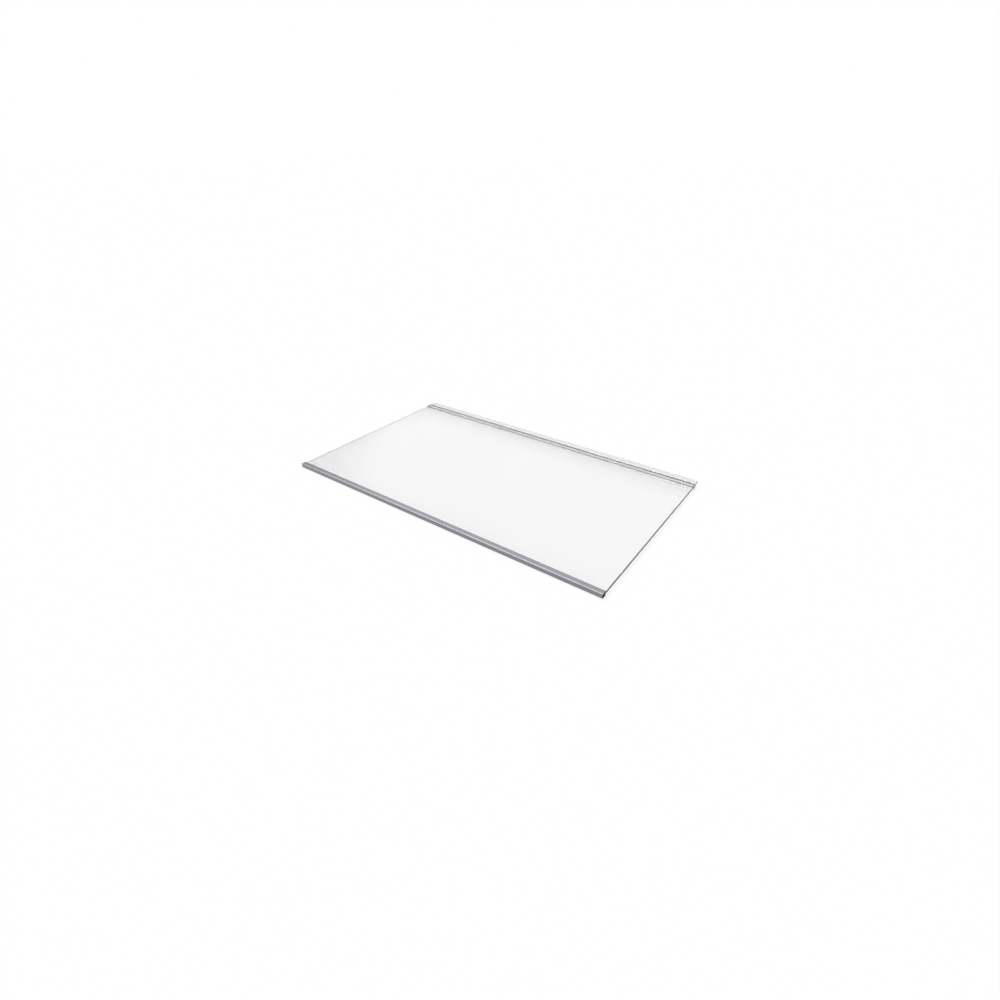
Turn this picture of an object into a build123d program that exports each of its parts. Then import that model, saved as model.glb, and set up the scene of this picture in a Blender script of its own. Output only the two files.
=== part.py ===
from build123d import *

import os

# Refrigerator shelf: a toughened glass pane with an extruded plastic trim on its front
# edge and another on its rear edge. The front trim is a grey channel with a rounded nose.
# The rear trim is a clear channel whose top wall runs on behind the glass as a spacer fin.
# Both grip the pane with a rib on each wall and end flush with its sides, and the shelf
# rests on their undersides.
#
# Units are millimetres. X runs along the shelf's width, -Y is its front and +Z is up. The
# origin is at the middle of the shelf's outline, on the plane of the trims' undersides.

# Glass pane
shelf_width = 520.0
glass_depth = 300.0
glass_thickness = 4.0
glass_corner_radius = 3.0
glass_arris = 0.4

# Fit of the pane in the trims
face_clearance = 0.15
edge_clearance = 0.4
rib_width = 0.9

# Walls under the glass, equal in both trims so that the shelf rests level
foot_wall = 1.2

# Front trim
front_top_wall = 1.2
front_nose_wall = 1.6
front_cover = 6.0
front_nose_radius = 1.2
front_chin_radius = 1.0
front_lip_radius = 0.5

# Rear trim
rear_top_wall = 1.2
rear_web = 1.4
rear_cover_top = 11.0
rear_cover_bottom = 9.5
rear_fin_reach = 10.5
rear_fin_thickness = 2.0
rear_fin_tip_radius = 0.6
rear_fin_root_radius = 1.2
rear_lip_radius = 0.4

# Places along Y, with the outline centred on the origin
overall_depth = front_nose_wall + edge_clearance + glass_depth + rear_fin_reach
front_y = -overall_depth / 2
glass_front_y = front_y + front_nose_wall + edge_clearance
glass_rear_y = glass_front_y + glass_depth
rear_y = glass_rear_y + rear_fin_reach

# Heights of the channel that holds the pane
channel_floor_z = foot_wall
glass_bottom_z = channel_floor_z + face_clearance
glass_top_z = glass_bottom_z + glass_thickness
channel_roof_z = glass_top_z + face_clearance


def wall(y_low, y_high, z_low, z_high):
    """A straight wall of a trim's section, between two places in Y and two heights."""
    middle = Location(((y_low + y_high) / 2, (z_low + z_high) / 2))
    return middle * Rectangle(y_high - y_low, z_high - z_low)


def grip_ribs(y_low_top, y_low_bottom):
    """The two ribs that close the clearance above and below the pane, at a channel's lips."""
    upper = wall(y_low_top, y_low_top + rib_width, glass_top_z, channel_roof_z)
    lower = wall(y_low_bottom, y_low_bottom + rib_width, channel_floor_z, glass_bottom_z)
    return upper, lower


def round_off(section, radius, *corners):
    """Rounds a section's corners that lie at the given places in Y and Z."""
    chosen = [section.vertices().sort_by_distance((y, z, 0))[0] for y, z in corners]
    return fillet(chosen, radius)


def run_along_width(section):
    """Extrudes a section in Y and Z from one side of the shelf to the other."""
    return extrude(Plane.YZ * section, amount=shelf_width / 2, both=True)


def make_glass_panel():
    """The pane, with rounded corners and a ground arris round both faces."""
    outline = RectangleRounded(shelf_width, glass_depth, glass_corner_radius)
    seat = Location((0, (glass_front_y + glass_rear_y) / 2, glass_bottom_z))
    pane = extrude(seat * outline, amount=glass_thickness)
    faces_by_height = pane.faces().sort_by(Axis.Z)
    rims = faces_by_height[0].edges() + faces_by_height[-1].edges()
    return chamfer(rims, glass_arris)


def make_front_trim():
    """A channel that opens to the rear, with a nose rounded more above than below."""
    top_z = channel_roof_z + front_top_wall
    lip_y = glass_front_y + front_cover
    channel_front_y = front_y + front_nose_wall
    section = wall(front_y, lip_y, 0, top_z)
    section -= wall(channel_front_y, lip_y, channel_floor_z, channel_roof_z)
    section += grip_ribs(lip_y - rib_width, lip_y - rib_width)
    section = round_off(section, front_nose_radius, (front_y, top_z))
    section = round_off(section, front_chin_radius, (front_y, 0))
    section = round_off(section, front_lip_radius, (lip_y, top_z), (lip_y, 0))
    return run_along_width(section)


def make_rear_trim():
    """A channel that opens to the front, with a spacer fin level with its top wall."""
    top_z = channel_roof_z + rear_top_wall
    fin_z = top_z - rear_fin_thickness
    web_front_y = glass_rear_y + edge_clearance
    web_rear_y = web_front_y + rear_web
    top_lip_y = glass_rear_y - rear_cover_top
    bottom_lip_y = glass_rear_y - rear_cover_bottom
    section = wall(top_lip_y, web_rear_y, channel_roof_z, top_z)
    section += wall(bottom_lip_y, web_rear_y, 0, channel_floor_z)
    section += wall(web_front_y, web_rear_y, 0, top_z)
    section += wall(web_front_y, rear_y, fin_z, top_z)
    section += grip_ribs(top_lip_y, bottom_lip_y)
    section = round_off(section, rear_fin_root_radius, (web_rear_y, fin_z))
    section = round_off(section, rear_fin_tip_radius, (rear_y, top_z), (rear_y, fin_z))
    section = round_off(section, rear_lip_radius, (top_lip_y, top_z), (bottom_lip_y, 0))
    section = round_off(section, rear_lip_radius, (web_rear_y, 0))
    return run_along_width(section)


shelf = {
    "glass_panel": make_glass_panel(),
    "front_trim": make_front_trim(),
    "rear_trim": make_rear_trim(),
}

os.makedirs("parts", exist_ok=True)
for name, piece in shelf.items():
    piece.label = name
    export_step(piece, f"parts/{name}.step")
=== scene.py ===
import math

import bmesh
import bpy
from mathutils import Matrix, Vector


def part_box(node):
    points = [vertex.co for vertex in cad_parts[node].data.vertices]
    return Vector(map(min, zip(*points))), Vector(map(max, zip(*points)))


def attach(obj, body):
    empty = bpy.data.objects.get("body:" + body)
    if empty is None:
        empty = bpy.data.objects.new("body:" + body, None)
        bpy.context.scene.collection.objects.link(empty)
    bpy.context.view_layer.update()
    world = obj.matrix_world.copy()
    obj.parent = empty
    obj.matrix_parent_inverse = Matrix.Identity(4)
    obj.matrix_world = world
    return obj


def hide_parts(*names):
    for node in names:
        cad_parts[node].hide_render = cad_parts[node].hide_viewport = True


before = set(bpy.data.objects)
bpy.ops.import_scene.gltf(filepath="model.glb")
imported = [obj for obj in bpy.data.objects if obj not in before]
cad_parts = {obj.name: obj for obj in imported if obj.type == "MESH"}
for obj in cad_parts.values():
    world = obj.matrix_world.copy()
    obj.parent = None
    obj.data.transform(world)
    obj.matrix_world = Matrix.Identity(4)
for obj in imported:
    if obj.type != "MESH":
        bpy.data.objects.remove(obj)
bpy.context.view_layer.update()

# Looks of a refrigerator shelf: a glass pane with ground edges, a silver-grey front trim
# and a clear rear trim, on a white studio floor. Lengths are in metres, in the shelf's own
# frame: X along its width, -Y to its front, +Z up, with the trims' undersides at Z = 0.

MM = 0.001

# Glass pane and its fit in the trims
GLASS_ARRIS = 0.4 * MM
GLASS_CORNER_RADIUS = 3.0 * MM
# Painted shade: a near-black rim on the pane's top under the rear trim
GLASS_PAINTED_SHADE_RIM = 3.9 * MM
FACE_CLEARANCE = 0.15 * MM
EDGE_CLEARANCE = 0.4 * MM
RIB_WIDTH = 0.9 * MM
SEAT_GAP = 0.01 * MM

# Front trim's section
FRONT_NOSE_WALL = 1.6 * MM
FRONT_NOSE_RADIUS = 1.2 * MM
FRONT_CHIN_RADIUS = 1.0 * MM
FRONT_LIP_RADIUS = 0.5 * MM

# Rear trim's section
REAR_WEB = 1.4 * MM
REAR_COVER_BOTTOM = 9.5 * MM
REAR_FIN_THICKNESS = 2.0 * MM
REAR_FIN_TIP_RADIUS = 0.6 * MM
REAR_FIN_ROOT_RADIUS = 1.2 * MM
REAR_LIP_RADIUS = 0.4 * MM

# Finish of the meshes
INNER_CORNER_RADIUS = 0.08 * MM
CUT_EDGE_BEVEL = 0.06 * MM
CUT_EDGE_STEPS = 2
ARC_STEP = math.radians(8)
ARC_STEPS_MIN = 2
SMOOTH_LIMIT = math.radians(35)
UPWARD = 0.9
TOLERANCE = 0.01 * MM

# Places of the materials in each piece's list
PANE_FACE = 0
PANE_POLISHED = 1
# The pane's ground parts are near-black as painted shade
PANE_GROUND_PAINTED_SHADE = 2
FRONT_SKIN = 0
# The front trim's ends are near-black as painted shade
FRONT_CUT_PAINTED_SHADE = 1
# Painted shade inside the front trim's channel
FRONT_PAINTED_SHADE = 2
REAR_WALL = 0
# The rear trim's right end is near-black as painted shade
REAR_CUT_PAINTED_SHADE = 1
# The rear trim's top wall's upright front is dark as painted shade
REAR_LIP_PAINTED_SHADE = 2
REAR_FIN = 3
REAR_FROSTED = 4

# Grains of the surfaces: a stretch along each axis, a scale per metre and a level of detail
WIPE_MARKS = ((1.0, 1.0, 1.0), 9.0, 4.0)
POLISH_MARKS = ((0.3, 0.3, 1.0), 3000.0, 2.0)
GRINDING = ((1.0, 1.0, 1.0), 4000.0, 2.0)
FLAKES = ((1.0, 1.0, 1.0), 5200.0, 1.0)
GREY_LINES = ((0.01, 1.0, 1.0), 2600.0, 3.0)
CLEAR_LINES = ((0.01, 1.0, 1.0), 1800.0, 3.0)
SAW_MARKS = ((1.0, 0.15, 1.0), 3000.0, 3.0)
GRAIN_LOW = 0.3
GRAIN_HIGH = 0.7

# Optics and tints of the clear materials
GLASS_IOR = 1.52
PLASTIC_IOR = 1.5
GLASS_TINT = (0.938, 0.941, 0.941, 1.0)
THIN_WALL_TINT = (0.985, 0.985, 1.0, 1.0)
# Painted shade: the fin has a darker copy of the walls' clear plastic
FIN_TINT_PAINTED_DARKER = (0.78, 0.78, 0.806, 1.0)
WHITE = (1.0, 1.0, 1.0, 1.0)
LIGHT_BOUNCES = 24

# Camera, solved from the photograph's edges
PHOTO_SIDE_PX = 1000
PHOTO_FOCAL_PX = 560.46
SENSOR_WIDTH_MM = 36.0
CAMERA_PLACE = Vector((0.4396, -0.6069, 0.4209))
CAMERA_YAW = math.radians(35.356)
CAMERA_PITCH = math.radians(31.791)
CAMERA_ROLL = math.radians(0.386)

# Floor, and the soft painted shade on it under the pane
FLOOR_SIDE = 80.0
FLOOR_GAP = 0.05 * MM
FLOOR_COLOUR = (0.4, 0.4, 0.4, 1.0)
FLOOR_SEEN_COLOUR = (0.95, 0.95, 0.95, 1.0)
FLOOR_SHADOW_EASE = 0.8
REAR_SHADE = 0.22
FRONT_SHADE = 0.07
LEFT_SHADE = 0.05
SHADE_REACH = 70 * MM
SHADE_POWER = 3.0
SHADE_UNDER_TRIM = 4 * MM
SHADE_END = 3 * MM

# Surround: its light, and how grey it is in reflections low down and at the left
FILL_LEVEL = 0.3
HORIZON_LEVEL = 0.5
HORIZON_TOP = math.sin(math.radians(14))
WHITE_FROM = math.sin(math.radians(23.5))
LEFT_LEVEL = 0.3
LEFT_FROM = -0.76
LEFT_END = -0.67
HALF_A_BOUNCE = 0.5

# Key light, and its soft glow in reflections
KEY_STRENGTH = 2.63
KEY_SPREAD = math.radians(52)
KEY_LEAN = math.radians(27)
KEY_TOWARD = (-math.sin(KEY_LEAN), 0.0, math.cos(KEY_LEAN))
KEY_GLOW = KEY_STRENGTH / (math.pi * math.sin(KEY_SPREAD / 2) ** 2)
GLOW_EDGE = math.cos(math.radians(34))
GLOW_FULL = math.cos(math.radians(20))

glass_low, glass_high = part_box("glass_panel")
front_low, front_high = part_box("front_trim")
rear_low, rear_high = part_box("rear_trim")
channel_floor_z = glass_low.z - FACE_CLEARANCE
channel_roof_z = glass_high.z + FACE_CLEARANCE
web_front_y = glass_high.y + EDGE_CLEARANCE
web_rear_y = web_front_y + REAR_WEB


def rounded_outline(corners):
    """Points round a closed outline given as (first, second, radius) corners."""
    points = []
    for index, (first, second, radius) in enumerate(corners):
        here = Vector((first, second))
        if radius == 0:
            points.append(here)
            continue
        before = Vector(corners[index - 1][:2])
        after = Vector(corners[(index + 1) % len(corners)][:2])
        to_before = (before - here).normalized()
        to_after = (after - here).normalized()
        half_angle = to_before.angle(to_after) / 2
        centre = here + (to_before + to_after).normalized() * radius / math.sin(half_angle)
        start = here + to_before * radius / math.tan(half_angle) - centre
        end = here + to_after * radius / math.tan(half_angle) - centre
        turn = start.angle_signed(end)
        steps = max(ARC_STEPS_MIN, math.ceil(abs(turn) / ARC_STEP))
        for step in range(steps + 1):
            angle = -turn * step / steps
            points.append(centre + Matrix.Rotation(angle, 2) @ start)
    return points


def mesh_of(form, name):
    """The mesh of a finished form."""
    mesh = bpy.data.meshes.new(name)
    form.to_mesh(mesh)
    form.free()
    return mesh


def shade_mesh(mesh):
    """Smooth shading, with edges kept sharp where faces meet at more than SMOOTH_LIMIT."""
    for polygon in mesh.polygons:
        polygon.use_smooth = True
    mesh.set_sharp_from_angle(angle=SMOOTH_LIMIT)


def add_object(name, data):
    """Puts a mesh, a light or a camera in the scene."""
    thing = bpy.data.objects.new(name, data)
    bpy.context.scene.collection.objects.link(thing)
    return thing


def add_piece(name, mesh, materials, node):
    """Makes a piece of the shelf that stands for a CAD node."""
    piece = add_object(name, mesh)
    for material in materials:
        mesh.materials.append(material)
    shade_mesh(mesh)
    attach(piece, "root")
    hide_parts(node)


def pane_mesh(name):
    """The pane, a little thinner than its seat.

    Its sides and its rear edge are polished. Its front edge and its corners are ground. They
    and a rim of its top under the rear trim are near-black, as painted shade.
    """
    low = glass_low + Vector((0, 0, SEAT_GAP))
    high = glass_high - Vector((0, 0, SEAT_GAP))
    form = bmesh.new()

    def ring(inset, height):
        radius = GLASS_CORNER_RADIUS - inset
        corners = [
            (low.x + inset, low.y + inset, radius),
            (high.x - inset, low.y + inset, radius),
            (high.x - inset, high.y - inset, radius),
            (low.x + inset, high.y - inset, radius),
        ]
        return [form.verts.new((x, y, height)) for x, y in rounded_outline(corners)]

    rings = [
        ring(GLASS_ARRIS, low.z),
        ring(0.0, low.z + GLASS_ARRIS),
        ring(0.0, high.z - GLASS_ARRIS),
        ring(GLASS_ARRIS, high.z),
    ]
    for lower, upper in zip(rings, rings[1:]):
        for index, here in enumerate(lower):
            following = (index + 1) % len(lower)
            beyond = lower[following]
            edge = form.faces.new((here, beyond, upper[following], upper[index]))
            at_side = abs(beyond.co.x - here.co.x) < TOLERANCE
            at_rear = min(beyond.co.y, here.co.y) > high.y - 2 * GLASS_ARRIS
            edge.material_index = PANE_POLISHED if at_side or at_rear else PANE_GROUND_PAINTED_SHADE
    for rim in (rings[0], rings[-1]):
        form.faces.new(rim).material_index = PANE_FACE
    bmesh.ops.recalc_face_normals(form, faces=form.faces)
    rim_y = high.y - GLASS_PAINTED_SHADE_RIM
    whole = form.verts[:] + form.edges[:] + form.faces[:]
    bmesh.ops.bisect_plane(form, geom=whole, plane_co=(0, rim_y, 0), plane_no=(0, 1, 0))
    # Painted shade: the rim of the top under the rear trim takes the near-black material
    for face in form.faces:
        if face.normal.z > UPWARD and face.calc_center_median().y > rim_y:
            face.material_index = PANE_GROUND_PAINTED_SHADE
    return mesh_of(form, name)


def extruded_mesh(name, corners, ends_x, side_material, end_materials):
    """A section in Y and Z run along X from its left end to its right end."""
    outline = rounded_outline(corners)
    form = bmesh.new()
    left, right = [[form.verts.new((x, y, z)) for y, z in outline] for x in ends_x]
    for index in range(len(outline)):
        following = (index + 1) % len(outline)
        strip = form.faces.new((left[index], right[index], right[following], left[following]))
        strip.material_index = side_material(strip.calc_center_median())
    ends = [form.faces.new(left), form.faces.new(right)]
    for end, index in zip(ends, end_materials):
        end.material_index = index
    bmesh.ops.bevel(
        form,
        geom=[edge for end in ends for edge in end.edges],
        offset=CUT_EDGE_BEVEL,
        segments=CUT_EDGE_STEPS,
        affect="EDGES",
        clamp_overlap=True,
    )
    bmesh.ops.recalc_face_normals(form, faces=form.faces)
    return mesh_of(form, name)


def front_section():
    """Corners of the front trim's section: a channel open to the rear with a rounded nose."""
    lip_y = front_high.y
    rib_y = lip_y - RIB_WIDTH
    inner_y = front_low.y + FRONT_NOSE_WALL
    return [
        (front_low.y, front_low.z, FRONT_CHIN_RADIUS),
        (lip_y, front_low.z, FRONT_LIP_RADIUS),
        (lip_y, glass_low.z, 0),
        (rib_y, glass_low.z, 0),
        (rib_y, channel_floor_z, 0),
        (inner_y, channel_floor_z, INNER_CORNER_RADIUS),
        (inner_y, channel_roof_z, INNER_CORNER_RADIUS),
        (rib_y, channel_roof_z, 0),
        (rib_y, glass_high.z, 0),
        (lip_y, glass_high.z, 0),
        (lip_y, front_high.z, FRONT_LIP_RADIUS),
        (front_low.y, front_high.z, FRONT_NOSE_RADIUS),
    ]


def front_material(place):
    """The front trim's material at a place: painted shade inside the channel, else its skin."""
    level = channel_floor_z - TOLERANCE < place.z < channel_roof_z + TOLERANCE
    within = front_low.y + FRONT_NOSE_WALL - TOLERANCE < place.y < front_high.y - TOLERANCE
    return FRONT_PAINTED_SHADE if level and within else FRONT_SKIN


def rear_section():
    """Corners of the rear trim's section: a channel open to the front, with a spacer fin."""
    top_lip_y = rear_low.y
    bottom_lip_y = glass_high.y - REAR_COVER_BOTTOM
    fin_z = rear_high.z - REAR_FIN_THICKNESS
    return [
        (bottom_lip_y, rear_low.z, REAR_LIP_RADIUS),
        (web_rear_y, rear_low.z, REAR_LIP_RADIUS),
        (web_rear_y, fin_z, REAR_FIN_ROOT_RADIUS),
        (rear_high.y, fin_z, REAR_FIN_TIP_RADIUS),
        (rear_high.y, rear_high.z, REAR_FIN_TIP_RADIUS),
        (web_rear_y, rear_high.z, 0),
        (top_lip_y, rear_high.z, REAR_LIP_RADIUS),
        (top_lip_y, glass_high.z, 0),
        (top_lip_y + RIB_WIDTH, glass_high.z, 0),
        (top_lip_y + RIB_WIDTH, channel_roof_z, 0),
        (web_front_y, channel_roof_z, INNER_CORNER_RADIUS),
        (web_front_y, channel_floor_z, INNER_CORNER_RADIUS),
        (bottom_lip_y + RIB_WIDTH, channel_floor_z, 0),
        (bottom_lip_y + RIB_WIDTH, glass_low.z, 0),
        (bottom_lip_y, glass_low.z, 0),
    ]


def rear_material(place):
    """The rear trim's material at a place: painted shade on its top wall's upright front, its fin or its
    walls.
    """
    if place.y < rear_low.y + TOLERANCE:
        return REAR_LIP_PAINTED_SHADE
    return REAR_FIN if place.y > web_rear_y + TOLERANCE else REAR_WALL


def add_node(tree, kind, inputs=None, **settings):
    """Adds a shader node; an input given as another node's socket is linked."""
    node = tree.nodes.new(kind)
    for name, value in settings.items():
        setattr(node, name, value)
    for name, value in (inputs or {}).items():
        if isinstance(value, bpy.types.NodeSocket):
            tree.links.new(value, node.inputs[name])
        else:
            node.inputs[name].default_value = value
    return node


def combine(tree, operation, first, second):
    """Two sockets or numbers combined by a maths operation."""
    return add_node(tree, "ShaderNodeMath", {0: first, 1: second}, operation=operation).outputs[0]


def ramp(tree, value, start, end, low, high):
    """A value carried from start..end onto low..high, and held beyond them."""
    inputs = {"Value": value, "From Min": start, "From Max": end, "To Min": low, "To Max": high}
    return add_node(tree, "ShaderNodeMapRange", inputs).outputs["Result"]


def mix_colours(tree, factor, first, second):
    """A blend of two colours."""
    inputs = {"Factor": factor, "A": first, "B": second}
    return add_node(tree, "ShaderNodeMix", inputs, data_type="RGBA").outputs["Result"]


def mix_shaders(tree, factor, first, second):
    """A blend of two shader nodes."""
    inputs = {"Fac": factor, 1: first.outputs[0], 2: second.outputs[0]}
    return add_node(tree, "ShaderNodeMixShader", inputs)


def object_noise(tree, stretch, scale, detail):
    """A noise in the shelf's own space, stretched by a factor along each axis."""
    place = add_node(tree, "ShaderNodeTexCoord").outputs["Object"]
    mapping = add_node(tree, "ShaderNodeMapping", {"Vector": place, "Scale": stretch})
    inputs = {"Vector": mapping.outputs["Vector"], "Scale": scale, "Detail": detail}
    return add_node(tree, "ShaderNodeTexNoise", inputs).outputs["Fac"]


def surface(name, values, grain, roughness, tints=None, tint_grain=None, relief=None):
    """A material whose grain varies its roughness and, where given, its tint and relief.

    The tint may follow a grain of its own.
    """
    material = bpy.data.materials.new(name)
    material.use_nodes = True
    tree = material.node_tree
    shader = tree.nodes["Principled BSDF"]
    for socket, value in values.items():
        shader.inputs[socket].default_value = value
    pattern = object_noise(tree, *grain)
    varied = ramp(tree, pattern, GRAIN_LOW, GRAIN_HIGH, *roughness)
    tree.links.new(varied, shader.inputs["Roughness"])
    if tints:
        speckle = object_noise(tree, *tint_grain) if tint_grain else pattern
        tree.links.new(mix_colours(tree, speckle, *tints), shader.inputs["Base Color"])
    if relief:
        bump = add_node(tree, "ShaderNodeBump", {"Height": pattern, "Distance": relief})
        tree.links.new(bump.outputs["Normal"], shader.inputs["Normal"])
    return material


def glass_face():
    """Polished float glass, with faint wipe marks."""
    clear = {"IOR": GLASS_IOR, "Transmission Weight": 1.0, "Base Color": GLASS_TINT}
    return surface("glass_face", clear, WIPE_MARKS, roughness=(0.0, 0.02))


def glass_side():
    """The pane's polished edges: mostly clear, with a grey diffuse part that darkens them as painted
    shade.
    """
    partly_painted_shade = {"IOR": GLASS_IOR, "Transmission Weight": 0.75}
    tints = ((0.27, 0.275, 0.275, 1.0), (0.35, 0.355, 0.355, 1.0))
    return surface("glass_side", partly_painted_shade, POLISH_MARKS, roughness=(0.05, 0.15), tints=tints)


def glass_edge_painted_shade():
    """The pane's ground parts and its top's rim in the trims: dull, finely grained, near-black as painted
    shade.
    """
    dull = {"Specular IOR Level": 0.0}
    tints = ((0.008, 0.008, 0.009, 1.0), (0.018, 0.018, 0.019, 1.0))
    return surface("glass_edge_painted_shade", dull, GRINDING, roughness=(0.4, 0.55), tints=tints, relief=0.02 * MM)


def grey_plastic():
    """Silver-grey plastic with fine flakes and the faint lengthwise lines of an extrusion."""
    silver = {"Metallic": 0.45, "IOR": PLASTIC_IOR}
    tints = ((0.296, 0.290, 0.319, 1.0), (0.345, 0.339, 0.371, 1.0))
    return surface(
        "grey_plastic",
        silver,
        GREY_LINES,
        roughness=(0.16, 0.26),
        tints=tints,
        tint_grain=FLAKES,
        relief=0.006 * MM,
    )


def grey_cut_end_painted_shade():
    """The saw-cut ends of the front trim, with saw marks, near-black as painted shade."""
    dull = {"Specular IOR Level": 0.0}
    tints = ((0.015, 0.015, 0.017, 1.0), (0.035, 0.035, 0.038, 1.0))
    return surface("grey_cut_end_painted_shade", dull, SAW_MARKS, roughness=(0.45, 0.65), tints=tints, relief=0.03 * MM)


def channel_painted_shade():
    """Near-black painted shade inside the front trim's channel, where the pane sits."""
    soft = {"IOR": PLASTIC_IOR}
    tints = ((0.010, 0.010, 0.011, 1.0), (0.022, 0.022, 0.024, 1.0))
    return surface("channel_painted_shade", soft, GREY_LINES, roughness=(0.55, 0.75), tints=tints)


def clear_plastic(name, tint):
    """Clear plastic of a given tint, with the faint lengthwise lines of an extrusion."""
    clear = {"IOR": PLASTIC_IOR, "Transmission Weight": 1.0, "Base Color": tint}
    return surface(name, clear, CLEAR_LINES, roughness=(0.02, 0.06), relief=0.004 * MM)


def clear_lip_painted_shade():
    """The front of the rear trim's top wall, dull and dark grey as painted shade."""
    dull = {"IOR": PLASTIC_IOR}
    tints = ((0.128, 0.128, 0.145, 1.0), (0.21, 0.21, 0.235, 1.0))
    return surface("clear_lip_painted_shade", dull, CLEAR_LINES, roughness=(0.35, 0.5), tints=tints)


def clear_cut_end_painted_shade():
    """The rear trim's right end, saw-cut and dull, near-black as painted shade."""
    dull = {"Specular IOR Level": 0.0}
    tints = ((0.03, 0.03, 0.032, 1.0), (0.07, 0.07, 0.073, 1.0))
    return surface("clear_cut_end_painted_shade", dull, SAW_MARKS, roughness=(0.25, 0.4), tints=tints, relief=0.03 * MM)


def frosted_end():
    """The rear trim's left end, cut finely enough to let light through."""
    milky = {"IOR": PLASTIC_IOR, "Transmission Weight": 0.85}
    tints = ((0.84, 0.84, 0.85, 1.0), (0.92, 0.92, 0.93, 1.0))
    return surface("frosted_end", milky, SAW_MARKS, roughness=(0.3, 0.45), tints=tints, relief=0.03 * MM)


def seen_directly(tree):
    """1 for rays from the camera, by way of mirrors and glass too, and 0 for light's own paths."""
    path = add_node(tree, "ShaderNodeLightPath").outputs
    seen = combine(tree, "MAXIMUM", path["Is Camera Ray"], path["Is Glossy Ray"])
    seen = combine(tree, "MAXIMUM", seen, path["Is Transmission Ray"])
    unspread = combine(tree, "LESS_THAN", path["Diffuse Depth"], HALF_A_BOUNCE)
    return combine(tree, "MULTIPLY", seen, unspread)


def white_with_painted_shade(tree):
    """The floor's white, with a painted shade that makes it a little darker under the pane beside the
    trims and its left side.
    """
    place = add_node(tree, "ShaderNodeTexCoord").outputs["Object"]
    at = add_node(tree, "ShaderNodeSeparateXYZ", {"Vector": place}).outputs
    shaded_sides = (
        (at["Y"], rear_low.y, -1, REAR_SHADE),
        (at["Y"], front_high.y, 1, FRONT_SHADE),
        (at["X"], glass_low.x, 1, LEFT_SHADE),
    )
    total = 0.0
    for across, edge, inward, depth in shaded_sides:
        near = ramp(tree, across, edge, edge + inward * SHADE_REACH, 1.0, 0.0)
        foot = edge - inward * SHADE_UNDER_TRIM
        deep = ramp(tree, across, foot - inward * SHADE_END, foot, 0.0, depth)
        shade = combine(tree, "MULTIPLY", combine(tree, "POWER", near, SHADE_POWER), deep)
        total = combine(tree, "ADD", total, shade)
    pane_sides = (
        (at["X"], glass_low.x, 1),
        (at["X"], glass_high.x, -1),
        (at["Y"], glass_low.y, 1),
        (at["Y"], glass_high.y, -1),
    )
    for across, edge, inward in pane_sides:
        inside = ramp(tree, across, edge, edge + inward * SHADE_END, 0.0, 1.0)
        total = combine(tree, "MULTIPLY", total, inside)
    return combine(tree, "SUBTRACT", 1.0, total)


def floor_white():
    """The floor's material: white where it is seen, with the shelf's shadow, and grey to light."""
    material = bpy.data.materials.new("floor_white")
    material.use_nodes = True
    tree = material.node_tree
    tree.nodes.remove(tree.nodes["Principled BSDF"])
    plain = add_node(tree, "ShaderNodeBsdfDiffuse", {"Color": FLOOR_COLOUR})
    shadowed = add_node(tree, "ShaderNodeBsdfDiffuse", {"Color": FLOOR_SEEN_COLOUR})
    white = add_node(tree, "ShaderNodeEmission", {"Color": WHITE, "Strength": white_with_painted_shade(tree)})
    eased = mix_shaders(tree, FLOOR_SHADOW_EASE, shadowed, white)
    blend = mix_shaders(tree, seen_directly(tree), plain, eased)
    tree.links.new(blend.outputs[0], tree.nodes["Material Output"].inputs["Surface"])
    return material


def add_floor():
    """A plain white floor that keeps the shelf's shadow."""
    mesh = bpy.data.meshes.new("floor")
    half = FLOOR_SIDE / 2
    outline = ((-half, -half), (half, -half), (half, half), (-half, half))
    mesh.from_pydata([(x, y, -FLOOR_GAP) for x, y in outline], [], [(0, 1, 2, 3)])
    mesh.materials.append(floor_white())
    floor = add_object("floor", mesh)


def add_world():
    """A white surround that lights the shelf at a lower, even level.

    Reflections show it greyer low down and at the left, with a soft glow round the key light.
    """
    world = bpy.data.worlds.new("studio")
    world.use_nodes = True
    bpy.context.scene.world = world
    tree = world.node_tree
    fill = tree.nodes["Background"]
    fill.inputs["Color"].default_value = WHITE
    fill.inputs["Strength"].default_value = FILL_LEVEL
    direction = add_node(tree, "ShaderNodeTexCoord").outputs["Generated"]
    toward = add_node(tree, "ShaderNodeSeparateXYZ", {"Vector": direction}).outputs
    low_part = ramp(tree, toward["Z"], HORIZON_TOP, WHITE_FROM, HORIZON_LEVEL, 1.0)
    left_part = ramp(tree, toward["X"], LEFT_FROM, LEFT_END, LEFT_LEVEL, 1.0)
    greyed = combine(tree, "MINIMUM", low_part, left_part)
    path = add_node(tree, "ShaderNodeLightPath").outputs
    unmirrored = combine(tree, "SUBTRACT", 1.0, path["Is Glossy Ray"])
    level = combine(tree, "MAXIMUM", unmirrored, greyed)
    key_side = {0: direction, 1: KEY_TOWARD}
    facing = add_node(tree, "ShaderNodeVectorMath", key_side, operation="DOT_PRODUCT").outputs["Value"]
    glow = ramp(tree, facing, GLOW_EDGE, GLOW_FULL, 0.0, KEY_GLOW)
    reflected = combine(tree, "GREATER_THAN", path["Is Glossy Ray"], path["Is Transmission Ray"])
    level = combine(tree, "ADD", level, combine(tree, "MULTIPLY", glow, reflected))
    white = add_node(tree, "ShaderNodeBackground", {"Color": WHITE, "Strength": level})
    blend = mix_shaders(tree, seen_directly(tree), fill, white)
    tree.links.new(blend.outputs[0], tree.nodes["World Output"].inputs["Surface"])


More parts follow.
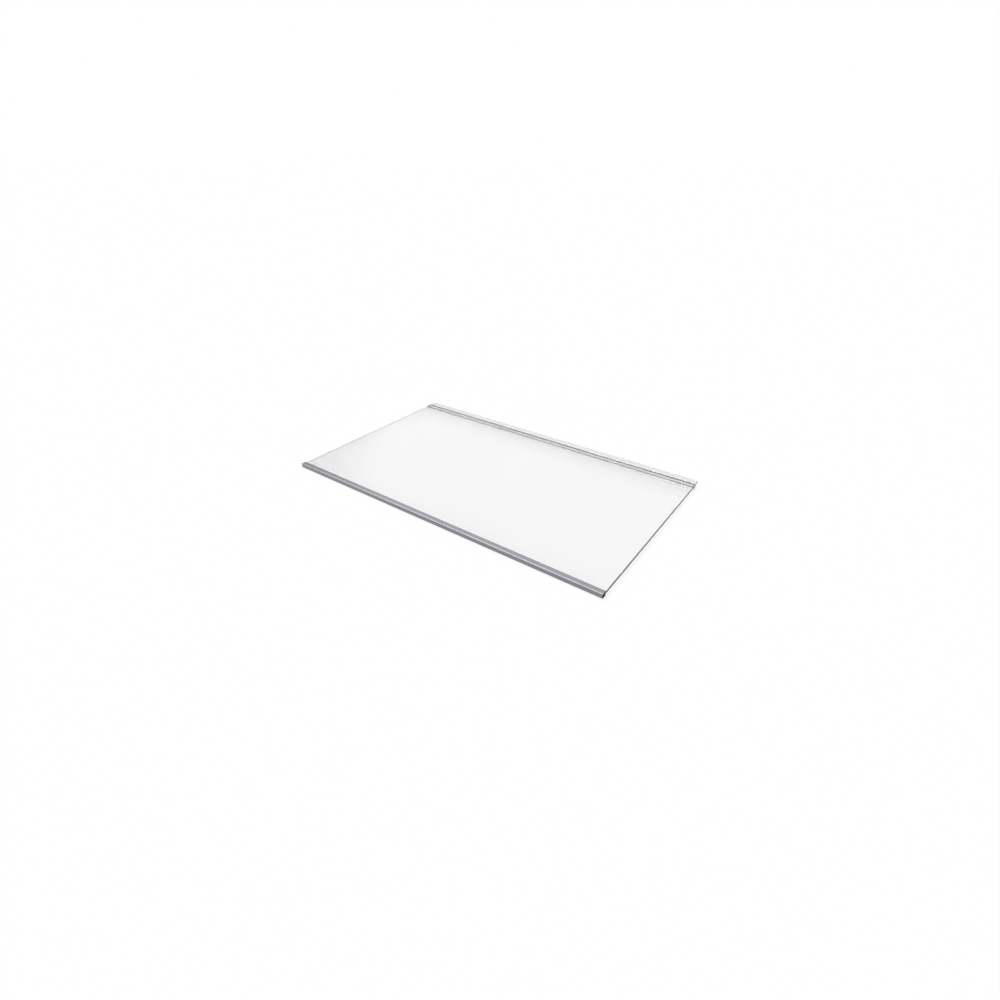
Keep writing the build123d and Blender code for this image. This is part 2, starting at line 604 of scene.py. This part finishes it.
def add_key():
    """One wide soft light overhead, a little to the left."""
    lamp = bpy.data.lights.new("key", "SUN")
    lamp.energy = KEY_STRENGTH
    lamp.angle = KEY_SPREAD
    key = add_object("key", lamp)
    key.rotation_euler = (0.0, -KEY_LEAN, 0.0)
    key.visible_glossy = False


def add_camera():
    """The photograph's camera."""
    data = bpy.data.cameras.new("camera")
    data.sensor_width = SENSOR_WIDTH_MM
    data.lens = SENSOR_WIDTH_MM * PHOTO_FOCAL_PX / PHOTO_SIDE_PX
    camera = add_object("camera", data)
    turn = Matrix.Rotation(CAMERA_YAW, 4, "Z")
    turn = turn @ Matrix.Rotation(math.pi / 2 - CAMERA_PITCH, 4, "X")
    turn = turn @ Matrix.Rotation(CAMERA_ROLL, 4, "Z")
    camera.matrix_world = Matrix.Translation(CAMERA_PLACE) @ turn
    bpy.context.scene.camera = camera


def set_light_paths():
    """Lets light pass through every clear wall, and keeps reflections sharp."""
    cycles = bpy.context.scene.cycles
    cycles.max_bounces = LIGHT_BOUNCES
    cycles.transmission_bounces = LIGHT_BOUNCES
    cycles.glossy_bounces = LIGHT_BOUNCES
    cycles.blur_glossy = 0.0


bpy.context.scene.view_settings.view_transform = "Standard"
set_light_paths()

# Pieces of the shelf, each with its materials in the order of their places
add_piece(
    "glass_pane",
    pane_mesh("glass_pane"),
    [glass_face(), glass_side(), glass_edge_painted_shade()],
    "glass_panel",
)
front_ends_x = (front_low.x, front_high.x)
front_end_materials = (FRONT_CUT_PAINTED_SHADE, FRONT_CUT_PAINTED_SHADE)
add_piece(
    "front_edge_trim",
    extruded_mesh("front_edge_trim", front_section(), front_ends_x, front_material, front_end_materials),
    [grey_plastic(), grey_cut_end_painted_shade(), channel_painted_shade()],
    "front_trim",
)
rear_ends_x = (rear_low.x, rear_high.x)
rear_end_materials = (REAR_FROSTED, REAR_CUT_PAINTED_SHADE)
add_piece(
    "rear_edge_trim",
    extruded_mesh("rear_edge_trim", rear_section(), rear_ends_x, rear_material, rear_end_materials),
    [
        clear_plastic("clear_wall", THIN_WALL_TINT),
        clear_cut_end_painted_shade(),
        clear_lip_painted_shade(),
        clear_plastic("clear_fin", FIN_TINT_PAINTED_DARKER),
        frosted_end(),
    ],
    "rear_trim",
)

# Studio
add_floor()
add_world()
add_key()
add_camera()
